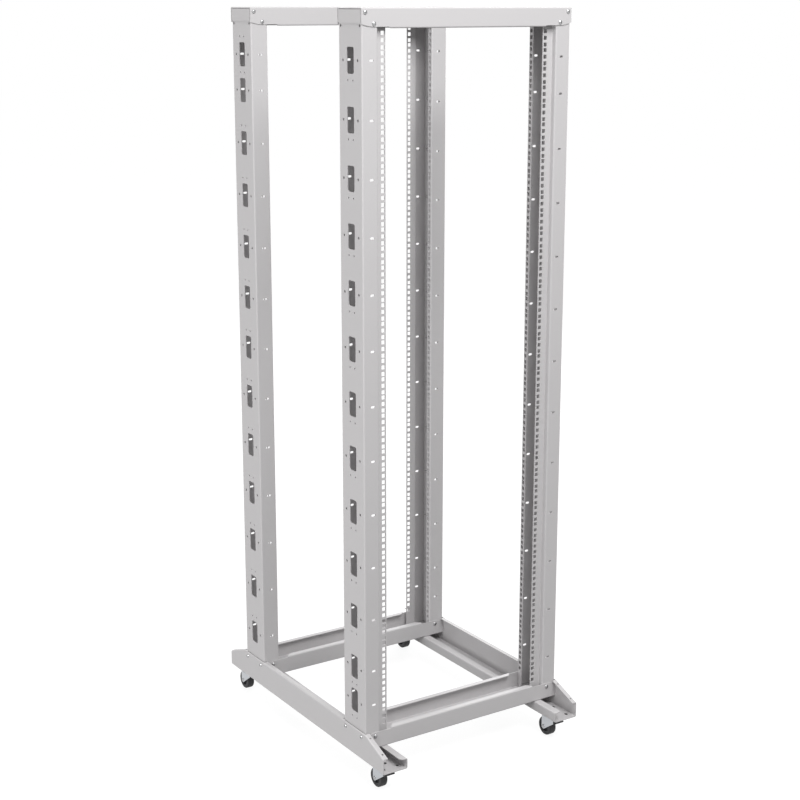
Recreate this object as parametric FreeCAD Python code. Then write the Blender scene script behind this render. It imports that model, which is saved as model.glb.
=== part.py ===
# Four post open frame rack for 19 inch equipment, on four swivel casters.
# Millimetres. X is across the rack, Y runs from the front to the rear and Z is up from the floor.
# The front faces -Y, and the origin is on the floor under the middle of the rack.

import FreeCAD
import Part
import math
import os

os.makedirs("parts", exist_ok=True)

Vector = FreeCAD.Vector

# Driving dimensions of the frame
WIDTH = 600.0            # over the outer walls of the base rails
LENGTH = 800.0           # base rails, front end to rear end
HEIGHT = 1885.0          # floor to the upper face of the top beams
POST_INSET = 88.0        # end of a base rail to the face of the nearest post
POST_DEPTH = 100.0
SHEET = 2.0              # all frame pieces are folded from this sheet
BEND = 2.5               # bend radius on the sheet's middle line

# The rack units that the posts carry
UNITS = 38
UNIT = 44.45
CLEAR_WIDTH = 450.0      # between the free edges of the two mounting strips
COLUMN_IN = 7.55         # free edge of a strip to the middle of its square holes
SQUARE = 9.5             # side of a square hole
FIRST_HOLE = 6.35        # foot of a rack unit to its lowest hole
HOLE_STEP = 15.875       # from hole to hole inside a rack unit
HOLES_IN_UNIT = 3

# Folds of a post
STRIP = 29.0             # free edge of the mounting strip to the edge of the post's face
STRIP_SETBACK = 14.0     # face of the post back to the mounting strip
LIP_STEP = 4.5           # the return lip stands this much nearer to the middle than the face's edge
LIP = 17.0               # width of the return lip

# Cable cut-outs in a post's web and slots in its faces, with cut corners
CUTOUT_WIDTH = 30.0
CUTOUT_HEIGHT = 60.0
CUTOUT_CORNER = 4.0
CUTOUT_PITCH = 3         # rack units from one cut-out to the next
CUTOUTS_ON_PITCH = 12
CUTOUT_FIRST = 1.5       # rack units from the end of the grid to the first cut-out
CUTOUT_LAST = 36.5       # and to the one that is out of step at the other end
SLOT_WIDTH = 10.0
SLOT_HEIGHT = 5.0
SLOT_CORNER = 1.5
SLOT_PLACE = 0.43        # share of the face's width, from its free edge to the middle of a slot

# Beams across the front and the rear
BEAM_WALL = 46.0
BEAM_LIP = 15.0
BEAM_LIP_GAP = 3.0       # between the end of a lip and the mounting strip beside it
BEAM_CORNER_START = 2.0  # from the edge of the post's face outwards
BEAM_CORNER_BULGE = 2.0  # the corner's curve stands this far above its chord
BEAM_END_WALL = 36.0     # height of the wall at its cut corner
EAR_HEIGHT = 34.0        # end plate that laps the post's web
EAR_GAP = 1.5            # slit between an end plate and the walls

# Base rails
RAIL_WIDTH = 70.0
RAIL_WALL = 73.0
RAIL_END_WALL = 41.0     # outer wall at the ends of the rail
RAIL_LIP = 13.0
RAIL_INNER_WALL = 27.0
RAIL_FLANGE = 20.0
RAIL_FLANGE_CORNER = 12.0
RAIL_LIP_GAP = 2.0       # between the beams and the rail's lips

# Casters
CASTER_INSET = 50.0      # swivel axis from the end of the rail
CASTER_TRAIL = 25.0      # wheel axis behind the swivel axis
WHEEL_DIAMETER = 50.0
TYRE_WIDTH = 20.0
HUB_DIAMETER = 36.0
HUB_BOSS = 14.0
HUB_RIM = 3.0            # thickness of the hub's rim
HUB_WEB = 6.0            # thickness of the disc between the rim and the boss
HUB_INSET = 1.0          # the hub's rim stands this far inside the tyre's sides
AXLE = 6.0
RUN_CLEAR = 0.05         # radial clearance of what turns on a pin
END_PLAY = 0.1
CASTER_HEIGHT = 69.0
PLATE_X = 56.0
PLATE_Y = 70.0
PLATE_SHEET = 2.0
PLATE_CORNER = 6.0
RACE = 42.0
RACE_HEIGHT = 5.0
KING_PIN = 10.0
KING_HEAD = 18.0
KING_HEAD_HEIGHT = 2.0
FORK_INSIDE = 24.0
FORK_SHEET = 2.0
FORK_FRONT = 16.0        # swivel axis to the front edge of the fork
FORK_REAR = 7.0          # wheel axis to the rear edge of the fork
FORK_EYE = 7.0           # radius of the fork round the axle
FORK_NOSE = 46.0         # height of the lower front corner above the floor
AXLE_HEAD = 10.0
AXLE_HEAD_HEIGHT = 2.5

# Brake pedals of the front casters
PEDAL_WIDTH = 29.0
PEDAL_TIP = 24.0         # swivel axis to the pedal's front edge
PEDAL_SHEET = 1.5
PEDAL_PIN = 4.0
PEDAL_PIN_AHEAD = 8.0    # swivel axis to the pedal's pin
PEDAL_PIN_HEIGHT = 48.0
PEDAL_CLEAR = 1.0        # beside the fork's walls
PEDAL_EAR_WALL = 1.5     # metal round the pin
SHOE_DEPTH = 5.0
SHOE_NOSE = 1.5          # thickness of the shoe at its front
SHOE_INSET = 1.0         # the shoe stands this far inside the pedal's edges

CUT = 1.0                # what a cutting tool reaches past the metal on each side

# Levels and places worked out from the above
BEND_OUTSIDE = BEND + SHEET / 2
BEND_INSIDE = BEND - SHEET / 2
POSTS_OVER_ALL = LENGTH - 2 * POST_INSET
FACE_EDGE = CLEAR_WIDTH / 2 + STRIP
LIP_FACE = FACE_EDGE - LIP_STEP
RAIL_BOTTOM = CASTER_HEIGHT
BEAM_BOTTOM = RAIL_BOTTOM + RAIL_INNER_WALL
POST_BOTTOM = BEAM_BOTTOM + SHEET + BEND_INSIDE
POST_TOP = HEIGHT - SHEET - BEND_INSIDE
POST_MIDDLE = (POST_BOTTOM + POST_TOP) / 2
GRID_BOTTOM = POST_MIDDLE - UNITS * UNIT / 2
GRID_TOP = POST_MIDDLE + UNITS * UNIT / 2
POST_WEB = WIDTH / 2 - 2 * SHEET
POST_CENTRE = (POSTS_OVER_ALL - POST_DEPTH) / 2
FRONT_FACE = -POSTS_OVER_ALL / 2
BEAM_DEPTH = POST_DEPTH + 2 * SHEET
RAIL_CENTRE = (WIDTH - RAIL_WIDTH) / 2
CASTER_Y = LENGTH / 2 - CASTER_INSET
FORK_TOP = CASTER_HEIGHT - PLATE_SHEET - RACE_HEIGHT - END_PLAY
FORK_OUTSIDE = FORK_INSIDE / 2 + FORK_SHEET
SIDES = {"left": -1, "right": 1}
ENDS = {"front": -1, "rear": 1}


def unit(x, y):
    length = math.hypot(x, y)
    return x / length, y / length


def folded_sheet(path, radius, place, run):
    """Sheet of even thickness along a path of its middle line, with round bends, pushed along run."""
    count = len(path)
    ways = [unit(path[i + 1][0] - path[i][0], path[i + 1][1] - path[i][1]) for i in range(count - 1)]
    rims = []
    for side in (1, -1):
        rim = []
        first = (path[0][0] - side * ways[0][1] * SHEET / 2, path[0][1] + side * ways[0][0] * SHEET / 2)
        last = (path[-1][0] - side * ways[-1][1] * SHEET / 2, path[-1][1] + side * ways[-1][0] * SHEET / 2)
        here = first
        for i in range(1, count - 1):
            before = ways[i - 1]
            after = ways[i]
            turn = before[0] * after[1] - before[1] * after[0]
            left = 1 if turn > 0 else -1
            cosine = before[0] * after[0] + before[1] * after[1]
            reach = radius * math.tan(math.acos(cosine) / 2)
            centre = (
                path[i][0] - before[0] * reach - left * before[1] * radius,
                path[i][1] - before[1] * reach + left * before[0] * radius,
            )
            rim_radius = radius - left * side * SHEET / 2
            middle = unit(before[0] + after[0], before[1] + after[1])
            arc = [
                (centre[0] + left * way[1] * rim_radius, centre[1] - left * way[0] * rim_radius)
                for way in (before, middle, after)
            ]
            rim.append(Part.LineSegment(place(*here), place(*arc[0])).toShape())
            rim.append(Part.Arc(place(*arc[0]), place(*arc[1]), place(*arc[2])).toShape())
            here = arc[2]
        rim.append(Part.LineSegment(place(*here), place(*last)).toShape())
        rims.append((rim, first, last))
    edges = list(rims[0][0]) + list(rims[1][0])
    edges.append(Part.LineSegment(place(*rims[0][1]), place(*rims[1][1])).toShape())
    edges.append(Part.LineSegment(place(*rims[0][2]), place(*rims[1][2])).toShape())
    wire = Part.Wire(Part.__sortEdges__(edges))
    return Part.Face(wire).extrude(run)


def prism(points, run):
    """Straight-sided prism on a closed outline of points."""
    return Part.Face(Part.makePolygon(points + [points[0]])).extrude(run)


def block(x0, x1, y0, y1, z0, z1):
    return Part.makeBox(x1 - x0, y1 - y0, z1 - z0, Vector(x0, y0, z0))


def eight_sided(width, height, corner, depth):
    """Slab across X and Z about the origin, its corners cut off, pushed along Y by depth."""
    x = width / 2
    z = height / 2
    outline = [(-x + corner, -z), (x - corner, -z), (x, -z + corner), (x, z - corner),
               (x - corner, z), (-x + corner, z), (-x, z - corner), (-x, -z + corner)]
    return prism([Vector(a, 0, b) for a, b in outline], Vector(0, depth, 0))


def cylinder(radius, start, way, length):
    return Part.makeCylinder(radius, length, start, way)


def save(shape, name):
    shape.exportStep("parts/" + name + ".step")


# Posts

def square_hole_levels():
    """Three holes in each rack unit, all in step with the units."""
    units = [GRID_BOTTOM + number * UNIT for number in range(UNITS)]
    return [foot + FIRST_HOLE + step * HOLE_STEP for foot in units for step in range(HOLES_IN_UNIT)]


def cutout_levels():
    """Levels of the front left post, counted down from the top of its grid."""
    levels = [CUTOUT_FIRST + CUTOUT_PITCH * number for number in range(CUTOUTS_ON_PITCH)]
    return [GRID_TOP - level * UNIT for level in levels + [CUTOUT_LAST]]


def front_left_post():
    rear_face = FRONT_FACE + POST_DEPTH
    half = SHEET / 2
    path = [
        (-CLEAR_WIDTH / 2, FRONT_FACE + STRIP_SETBACK + half),
        (-FACE_EDGE - half, FRONT_FACE + STRIP_SETBACK + half),
        (-FACE_EDGE - half, FRONT_FACE + half),
        (-POST_WEB + half, FRONT_FACE + half),
        (-POST_WEB + half, rear_face - half),
        (-LIP_FACE - half, rear_face - half),
        (-LIP_FACE - half, rear_face - LIP),
    ]
    run = Vector(0, 0, POST_TOP - POST_BOTTOM)
    post = folded_sheet(path, BEND, lambda x, y: Vector(x, y, POST_BOTTOM), run)

    depth = SHEET + 2 * CUT
    square = block(-SQUARE / 2, SQUARE / 2, 0, depth, -SQUARE / 2, SQUARE / 2)
    cutout = eight_sided(CUTOUT_WIDTH, CUTOUT_HEIGHT, CUTOUT_CORNER, depth)
    cutout.rotate(Vector(0, 0, 0), Vector(0, 0, 1), -90)
    slot = eight_sided(SLOT_WIDTH, SLOT_HEIGHT, SLOT_CORNER, depth)
    column = -CLEAR_WIDTH / 2 - COLUMN_IN
    strip = FRONT_FACE + STRIP_SETBACK
    slot_column = -FACE_EDGE - SLOT_PLACE * (POST_WEB - FACE_EDGE)
    middle = (FRONT_FACE + rear_face) / 2
    tools = [square.translated(Vector(column, strip - CUT, level)) for level in square_hole_levels()]
    for level in cutout_levels():
        tools.append(cutout.translated(Vector(-POST_WEB - CUT, middle, level)))
        for outside in (FRONT_FACE, rear_face - SHEET):
            tools.append(slot.translated(Vector(slot_column, outside - CUT, level)))
    return post.cut(Part.makeCompound(tools))


def make_posts():
    """All four posts are one part. The other three are the front left one, turned end over end."""
    post = front_left_post()
    centre = Vector(0, 0, POST_MIDDLE)
    turns = {
        "front_left": None,
        "rear_left": Vector(1, 0, 0),
        "front_right": Vector(0, 1, 0),
        "rear_right": Vector(0, 0, 1),
    }
    for place, axis in turns.items():
        shape = post.copy()
        if axis is not None:
            shape.rotate(centre, axis, 180)
        save(shape, "post_" + place)


# Beams

def bottom_beam():
    """Channel that is open upwards, about the plane Y = 0."""
    half = SHEET / 2
    wall = BEAM_DEPTH / 2 - half
    top = BEAM_BOTTOM + BEAM_WALL
    end = WIDTH / 2 - SHEET
    path = [
        (-BEAM_DEPTH / 2 + BEAM_LIP, top - half),
        (-wall, top - half),
        (-wall, BEAM_BOTTOM + half),
        (wall, BEAM_BOTTOM + half),
        (wall, top - half),
        (BEAM_DEPTH / 2 - BEAM_LIP, top - half),
    ]
    beam = folded_sheet(path, BEND, lambda y, z: Vector(-end, y, z), Vector(2 * end, 0, 0))
    tools = []
    ears = []
    for side in SIDES.values():
        tools += beam_end_cuts(side, end, top)
        ears.append(beam_ear(side, end))
    return beam.cut(Part.makeCompound(tools)).fuse(ears).removeSplitter()


def beam_end_cuts(side, end, top):
    """What is cut away at one end: the lips, the slit round the ear and the walls' free corners."""
    lip_end = CLEAR_WIDTH / 2 - BEAM_LIP_GAP
    lip_tip = lip_end - (BEAM_LIP - SHEET)
    inside = POST_DEPTH / 2
    lip_edge = inside - (BEAM_LIP - SHEET)
    outside = BEAM_DEPTH / 2 + CUT
    wall_top = top - BEND_OUTSIDE
    mitre = [(lip_end, -inside), (lip_tip, -lip_edge), (lip_tip, lip_edge), (lip_end, inside)]
    points = [Vector(side * x, y, wall_top) for x, y in mitre]
    lips = sorted((side * lip_end, side * (end + CUT)))
    slit = sorted((side * (end - 2 * SHEET), side * (end + CUT)))
    return [
        prism(points, Vector(0, 0, BEND_OUTSIDE + CUT)),
        block(*lips, -outside, outside, wall_top, top + CUT),
        block(*slit, -ear_half(), ear_half(), BEAM_BOTTOM - CUT, BEAM_BOTTOM + SHEET + CUT),
        corner_cut(side, end, wall_top, outside),
    ]


def ear_half():
    """Half the width of an ear, which stands between the beam's walls."""
    return POST_DEPTH / 2 - EAR_GAP


def beam_ear(side, end):
    """End plate folded up from the beam's bottom, flat against the post's web."""
    half = SHEET / 2
    path = [
        (side * (end - 4 * SHEET), BEAM_BOTTOM + half),
        (side * (end - half), BEAM_BOTTOM + half),
        (side * (end - half), BEAM_BOTTOM + EAR_HEIGHT),
    ]
    return folded_sheet(path, BEND, lambda x, z: Vector(x, -ear_half(), z), Vector(0, 2 * ear_half(), 0))


def corner_cut(side, end, wall_top, outside):
    """What is cut from the walls' free corner at one end, above a soft curve."""
    start = Vector(side * (FACE_EDGE + BEAM_CORNER_START), -outside, wall_top)
    finish = Vector(side * (end + CUT), -outside, BEAM_BOTTOM + BEAM_END_WALL)
    bulge = (start + finish) / 2 + Vector(0, 0, BEAM_CORNER_BULGE)
    above = Vector(finish.x, -outside, wall_top + CUT)
    over = Vector(start.x, -outside, wall_top + CUT)
    edges = [
        Part.Arc(start, bulge, finish).toShape(),
        Part.LineSegment(finish, above).toShape(),
        Part.LineSegment(above, over).toShape(),
        Part.LineSegment(over, start).toShape(),
    ]
    return Part.Face(Part.Wire(edges)).extrude(Vector(0, 2 * outside, 0))


def make_beams():
    beam = bottom_beam()
    for end_name, end in ENDS.items():
        lower = beam.translated(Vector(0, end * POST_CENTRE, 0))
        upper = lower.copy()
        upper.rotate(Vector(0, end * POST_CENTRE, POST_MIDDLE), Vector(1, 0, 0), 180)
        save(lower, "bottom_beam_" + end_name)
        save(upper, "top_beam_" + end_name)


# Base rails

def left_rail():
    half = SHEET / 2
    outer = -WIDTH / 2
    inner = outer + RAIL_WIDTH
    top = RAIL_BOTTOM + RAIL_WALL
    path = [
        (outer + RAIL_LIP, top - half),
        (outer + half, top - half),
        (outer + half, RAIL_BOTTOM + half),
        (inner - half, RAIL_BOTTOM + half),
        (inner - half, RAIL_BOTTOM + RAIL_INNER_WALL - half),
        (inner - RAIL_FLANGE, RAIL_BOTTOM + RAIL_INNER_WALL - half),
    ]
    rail = folded_sheet(path, BEND, lambda x, z: Vector(x, -LENGTH / 2, z), Vector(0, LENGTH, 0))

    beside = BEAM_DEPTH / 2 + RAIL_LIP_GAP
    slope_start = POST_CENTRE + beside
    end = LENGTH / 2
    low = RAIL_BOTTOM + RAIL_END_WALL
    tools = []
    lips = []
    for way in ENDS.values():
        span = sorted((way * (POST_CENTRE - beside), way * slope_start))
        tools.append(block(outer + SHEET, outer + RAIL_LIP + CUT, *span, top - BEND_OUTSIDE, top + CUT))
        slope = [(slope_start, top - BEND_OUTSIDE), (end + CUT, low - BEND_OUTSIDE),
                 (end + CUT, top + CUT), (slope_start, top + CUT)]
        points = [Vector(outer - CUT, way * y, z) for y, z in slope]
        tools.append(prism(points, Vector(RAIL_LIP + 2 * CUT, 0, 0)))
        tools.append(flange_corner(way, inner, end))
        lips.append(sloping_lip(way, outer, slope_start, top, end, low))
    return rail.cut(Part.makeCompound(tools)).fuse(lips).removeSplitter()


def sloping_lip(way, outer, start, start_level, end, end_level):
    """Lip and bend along the sloping top of the outer wall, from beside the post to the rail's end."""
    along = Vector(0, way * (end - start), end_level - start_level)
    down = Vector(0, way * along.z, start - end).normalize()
    spare = along.normalize() * RAIL_LIP
    half = SHEET / 2
    path = [(outer + RAIL_LIP, half), (outer + half, half), (outer + half, 2 * BEND_OUTSIDE)]
    foot = Vector(0, way * start, start_level) - spare
    run = Vector(0, way * (end - start), end_level - start_level) + spare * 2
    lip = folded_sheet(path, BEND, lambda x, depth: Vector(x, 0, 0) + foot + down * depth, run)
    span = sorted((way * start, way * end))
    return lip.common(block(outer - CUT, outer + RAIL_LIP + CUT, *span, RAIL_BOTTOM, start_level + CUT))


def flange_corner(way, inner, end):
    """Rounded free corner of the inner wall's flange at one end of the rail."""
    edge = inner - RAIL_FLANGE
    reach = RAIL_FLANGE_CORNER
    level = RAIL_BOTTOM + RAIL_INNER_WALL - SHEET - CUT
    corner = Vector(edge - CUT, way * (end + CUT), level)
    start = Vector(edge - CUT, way * (end - reach), level)
    tangent = Vector(edge, way * (end - reach), level)
    finish = Vector(edge + reach, way * end, level)
    outer = Vector(edge + reach, way * (end + CUT), level)
    share = 1 - math.sqrt(0.5)
    middle = Vector(edge + reach * share, way * (end - reach * share), level)
    edges = [
        Part.LineSegment(corner, start).toShape(),
        Part.LineSegment(start, tangent).toShape(),
        Part.Arc(tangent, middle, finish).toShape(),
        Part.LineSegment(finish, outer).toShape(),
        Part.LineSegment(outer, corner).toShape(),
    ]
    return Part.Face(Part.Wire(edges)).extrude(Vector(0, 0, SHEET + 2 * CUT))


def make_rails():
    rail = left_rail()
    save(rail, "side_rail_left")
    other = rail.copy()
    other.rotate(Vector(0, 0, 0), Vector(0, 0, 1), 180)
    save(other, "side_rail_right")


# Casters, drawn about the swivel axis at X = 0, Y = 0 with the wheel trailing to the rear

def caster_plate():
    """Top plate with the swivel's upper race and the king pin."""
    bottom = CASTER_HEIGHT - PLATE_SHEET
    slab = block(-PLATE_X / 2, PLATE_X / 2, -PLATE_Y / 2, PLATE_Y / 2, bottom, CASTER_HEIGHT)
    slab = slab.makeFillet(PLATE_CORNER, [edge for edge in slab.Edges if is_upright(edge)])
    up = Vector(0, 0, 1)
    race_foot = bottom - RACE_HEIGHT
    head_top = FORK_TOP - FORK_SHEET - END_PLAY
    race = cylinder(RACE / 2, Vector(0, 0, race_foot), up, RACE_HEIGHT)
    pin = cylinder(KING_PIN / 2, Vector(0, 0, head_top), up, race_foot - head_top)
    head = cylinder(KING_HEAD / 2, Vector(0, 0, head_top - KING_HEAD_HEIGHT), up, KING_HEAD_HEIGHT)
    return slab.fuse([race, pin, head]).removeSplitter()


def is_upright(edge):
    start = edge.Vertexes[0].Point
    end = edge.Vertexes[-1].Point
    return abs(start.x - end.x) < 1e-6 and abs(start.y - end.y) < 1e-6


def fork(braked):
    """Stamped fork: a crown under the race and two walls that taper to the axle."""
    half = FORK_SHEET / 2
    low = WHEEL_DIAMETER / 2 - FORK_EYE - CUT
    path = [
        (-FORK_OUTSIDE + half, low),
        (-FORK_OUTSIDE + half, FORK_TOP - half),
        (FORK_OUTSIDE - half, FORK_TOP - half),
        (FORK_OUTSIDE - half, low),
    ]
    run = Vector(0, CASTER_TRAIL + FORK_REAR + FORK_FRONT, 0)
    channel = folded_sheet(path, BEND, lambda x, z: Vector(x, -FORK_FRONT, z), run)
    shape = channel.common(fork_outline())
    crown = Vector(0, 0, FORK_TOP - FORK_SHEET - CUT)
    tools = [
        cylinder(KING_PIN / 2 + RUN_CLEAR, crown, Vector(0, 0, 1), FORK_SHEET + 2 * CUT),
        cross_pin(AXLE, CASTER_TRAIL, WHEEL_DIAMETER / 2, FORK_OUTSIDE + CUT),
    ]
    if braked:
        tools.append(cross_pin(PEDAL_PIN, -PEDAL_PIN_AHEAD, PEDAL_PIN_HEIGHT, FORK_OUTSIDE + CUT))
    return shape.cut(Part.makeCompound(tools))


def cross_pin(diameter, y, z, reach):
    """Round bar across the caster, from -reach to reach."""
    return cylinder(diameter / 2, Vector(-reach, y, z), Vector(1, 0, 0), 2 * reach)


def fork_outline():
    """Side outline of the fork: steep at the rear, long slope from the nose down to the axle."""
    axle_y = CASTER_TRAIL
    axle_z = WHEEL_DIAMETER / 2
    nose_y = -FORK_FRONT
    side = -FORK_OUTSIDE - CUT
    distance = math.hypot(axle_y - nose_y, axle_z - FORK_NOSE)
    slope = math.atan2(axle_z - FORK_NOSE, axle_y - nose_y)
    lean = math.asin(FORK_EYE / distance)
    way = slope - lean
    reach = math.sqrt(distance ** 2 - FORK_EYE ** 2)
    lowest = way / 2 - math.pi / 4
    nose = Vector(side, nose_y, FORK_NOSE)
    touch = Vector(side, nose_y + reach * math.cos(way), FORK_NOSE + reach * math.sin(way))
    bottom = Vector(side, axle_y + FORK_EYE * math.cos(lowest), axle_z + FORK_EYE * math.sin(lowest))
    rear = Vector(side, axle_y + FORK_EYE, axle_z)
    rear_top = Vector(side, axle_y + FORK_REAR, FORK_TOP + CUT)
    front_top = Vector(side, nose_y, FORK_TOP + CUT)
    edges = [
        Part.LineSegment(nose, touch).toShape(),
        Part.Arc(touch, bottom, rear).toShape(),
        Part.LineSegment(rear, rear_top).toShape(),
        Part.LineSegment(rear_top, front_top).toShape(),
        Part.LineSegment(front_top, nose).toShape(),
    ]
    return Part.Face(Part.Wire(edges)).extrude(Vector(-2 * side, 0, 0))


def axle():
    """Bolt through the fork, with a round head on each side."""
    level = WHEEL_DIAMETER / 2
    shaft = cross_pin(AXLE, CASTER_TRAIL, level, FORK_OUTSIDE)
    heads = [
        cylinder(AXLE_HEAD / 2, Vector(start, CASTER_TRAIL, level), Vector(1, 0, 0), AXLE_HEAD_HEIGHT)
        for start in (-FORK_OUTSIDE - AXLE_HEAD_HEIGHT, FORK_OUTSIDE)
    ]
    return shaft.fuse(heads).removeSplitter()


def turned(profile):
    """Solid turned about the wheel's axis, from (radius, x) points."""
    level = WHEEL_DIAMETER / 2
    points = [Vector(x, CASTER_TRAIL, level + radius) for radius, x in profile]
    face = Part.Face(Part.makePolygon(points + [points[0]]))
    return face.revolve(Vector(0, CASTER_TRAIL, level), Vector(1, 0, 0), 360)


def wheel_hub():
    bore = AXLE / 2 + RUN_CLEAR
    boss = FORK_INSIDE / 2 - END_PLAY
    rim = TYRE_WIDTH / 2 - HUB_INSET
    rim_inside = HUB_DIAMETER / 2 - HUB_RIM
    web = HUB_WEB / 2
    half_profile = [
        (bore, boss), (HUB_BOSS / 2, boss), (HUB_BOSS / 2, web), (rim_inside, web),
        (rim_inside, rim), (HUB_DIAMETER / 2, rim),
    ]
    return turned(half_profile + [(radius, -x) for radius, x in reversed(half_profile)])


def tyre():
    inner = HUB_DIAMETER / 2
    outer = WHEEL_DIAMETER / 2
    half = TYRE_WIDTH / 2
    return turned([(inner, -half), (outer, -half), (outer, half), (inner, half)])


def brake_lever():
    """Steel lever: a wide pedal ahead of the fork and two ears on the pin between its walls."""
    inside = FORK_INSIDE / 2 - PEDAL_CLEAR
    around = PEDAL_PIN / 2 + PEDAL_EAR_WALL
    top = PEDAL_PIN_HEIGHT + around
    low = PEDAL_PIN_HEIGHT - around
    rear = -PEDAL_PIN_AHEAD + around
    front = -FORK_FRONT - PEDAL_CLEAR
    tongue = block(-inside, inside, front, rear, top - PEDAL_SHEET, top)
    pedal = block(-PEDAL_WIDTH / 2, PEDAL_WIDTH / 2, -PEDAL_TIP, front, top - PEDAL_SHEET, top)
    ears = [
        block(x, x + PEDAL_SHEET, -PEDAL_PIN_AHEAD - around, rear, low, top)
        for x in (-inside, inside - PEDAL_SHEET)
    ]
    lever = tongue.fuse([pedal] + ears).removeSplitter()
    return lever.cut(cross_pin(PEDAL_PIN + 2 * RUN_CLEAR, -PEDAL_PIN_AHEAD, PEDAL_PIN_HEIGHT, inside + CUT))


def brake_shoe():
    """Moulded wedge under the pedal."""
    around = PEDAL_PIN / 2 + PEDAL_EAR_WALL
    top = PEDAL_PIN_HEIGHT + around - PEDAL_SHEET
    half = FORK_INSIDE / 2 - PEDAL_CLEAR - PEDAL_SHEET - SHOE_INSET
    front = -PEDAL_TIP + SHOE_INSET
    rear = -PEDAL_PIN_AHEAD - around
    points = [(front, top), (front, top - SHOE_NOSE), (rear, top - SHOE_DEPTH), (rear, top)]
    return prism([Vector(-half, y, z) for y, z in points], Vector(2 * half, 0, 0))


def brake_pin():
    return cross_pin(PEDAL_PIN, -PEDAL_PIN_AHEAD, PEDAL_PIN_HEIGHT, FORK_OUTSIDE)


def make_casters():
    """The front two casters have a brake and the rear two have none."""
    for end_name, end in ENDS.items():
        braked = end_name == "front"
        pieces = {
            "caster_plate": caster_plate(),
            "caster_fork": fork(braked),
            "caster_axle": axle(),
            "wheel_hub": wheel_hub(),
            "wheel_tyre": tyre(),
        }
        if braked:
            pieces["brake_lever"] = brake_lever()
            pieces["brake_shoe"] = brake_shoe()
            pieces["brake_pin"] = brake_pin()
        for side_name, side in SIDES.items():
            for name, shape in pieces.items():
                placed = shape.translated(Vector(side * RAIL_CENTRE, end * CASTER_Y, 0))
                save(placed, name + "_" + end_name + "_" + side_name)


make_posts()
make_beams()
make_rails()
make_casters()
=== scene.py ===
import math

import bmesh
import bpy
from mathutils import Euler, Matrix, Vector


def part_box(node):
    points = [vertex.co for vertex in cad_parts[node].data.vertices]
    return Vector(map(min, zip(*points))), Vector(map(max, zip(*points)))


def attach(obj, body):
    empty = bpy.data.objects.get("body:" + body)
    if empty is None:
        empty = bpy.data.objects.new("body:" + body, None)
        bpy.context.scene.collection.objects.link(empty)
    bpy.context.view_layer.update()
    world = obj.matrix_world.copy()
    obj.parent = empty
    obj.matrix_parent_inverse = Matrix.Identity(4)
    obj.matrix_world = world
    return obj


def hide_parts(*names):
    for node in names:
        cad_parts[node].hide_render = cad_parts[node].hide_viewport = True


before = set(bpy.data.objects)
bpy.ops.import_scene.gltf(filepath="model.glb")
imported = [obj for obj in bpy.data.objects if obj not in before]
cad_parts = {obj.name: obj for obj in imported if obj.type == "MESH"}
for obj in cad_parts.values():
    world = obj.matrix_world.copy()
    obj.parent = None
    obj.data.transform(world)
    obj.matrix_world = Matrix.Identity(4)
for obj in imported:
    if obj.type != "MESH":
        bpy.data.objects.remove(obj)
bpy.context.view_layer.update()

bl_info = {
    "name": "Four post open frame rack",
    "version": (1, 0, 0),
    "blender": (4, 5, 0),
    "location": "View3D > Sidebar > Rack",
    "description": "Dresses an open frame equipment rack: folded posts, rails, casters, screws "
                   "and finishes",
    "category": "Object",
}

MM = 0.001
SIDES = {"left": -1, "right": 1}
ENDS = {"front": -1, "rear": 1}
CORNERS = [(end, side) for end in ENDS for side in SIDES]
BRAKED = [corner for corner in CORNERS if corner[0] == "front"]
ORIGIN = Vector((0, 0, 0))
ACROSS = Vector((1, 0, 0))
ALONG = Vector((0, 1, 0))
UP = Vector((0, 0, 1))

TOUCHING = 1e-6               # vertices nearer than this are joined
FLAT = math.radians(0.5)      # faces that meet at less than this are one face
SHARP = math.radians(32)      # edges that turn by more than this stay sharp
ROUNDED = math.radians(40)    # edges that turn by more than this are softened
PRESSED_EDGE = 0.3 * MM       # softening of stamped steel's edges
FOLDED_EDGE = 0.25 * MM       # softening of folded sheet's edges
MOULDED_EDGE = 0.4 * MM       # softening of plastic's edges


# Sizes and colours that a user would change

def length(name, description, millimetres):
    return bpy.props.FloatProperty(
        name=name, description=description, default=millimetres * MM, min=0.0, unit="LENGTH",
        precision=5)


def colour(name, description, value):
    return bpy.props.FloatVectorProperty(
        name=name, description=description, default=value, size=3, min=0.0, max=1.0,
        subtype="COLOR")


def count(name, description, value):
    return bpy.props.IntProperty(name=name, description=description, default=value, min=1)


def angle(name, description, degrees):
    return bpy.props.FloatProperty(
        name=name, description=description, default=math.radians(degrees), subtype="ANGLE")


def brightness(name, description, value):
    return bpy.props.FloatProperty(name=name, description=description, default=value, min=0.0)


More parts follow.
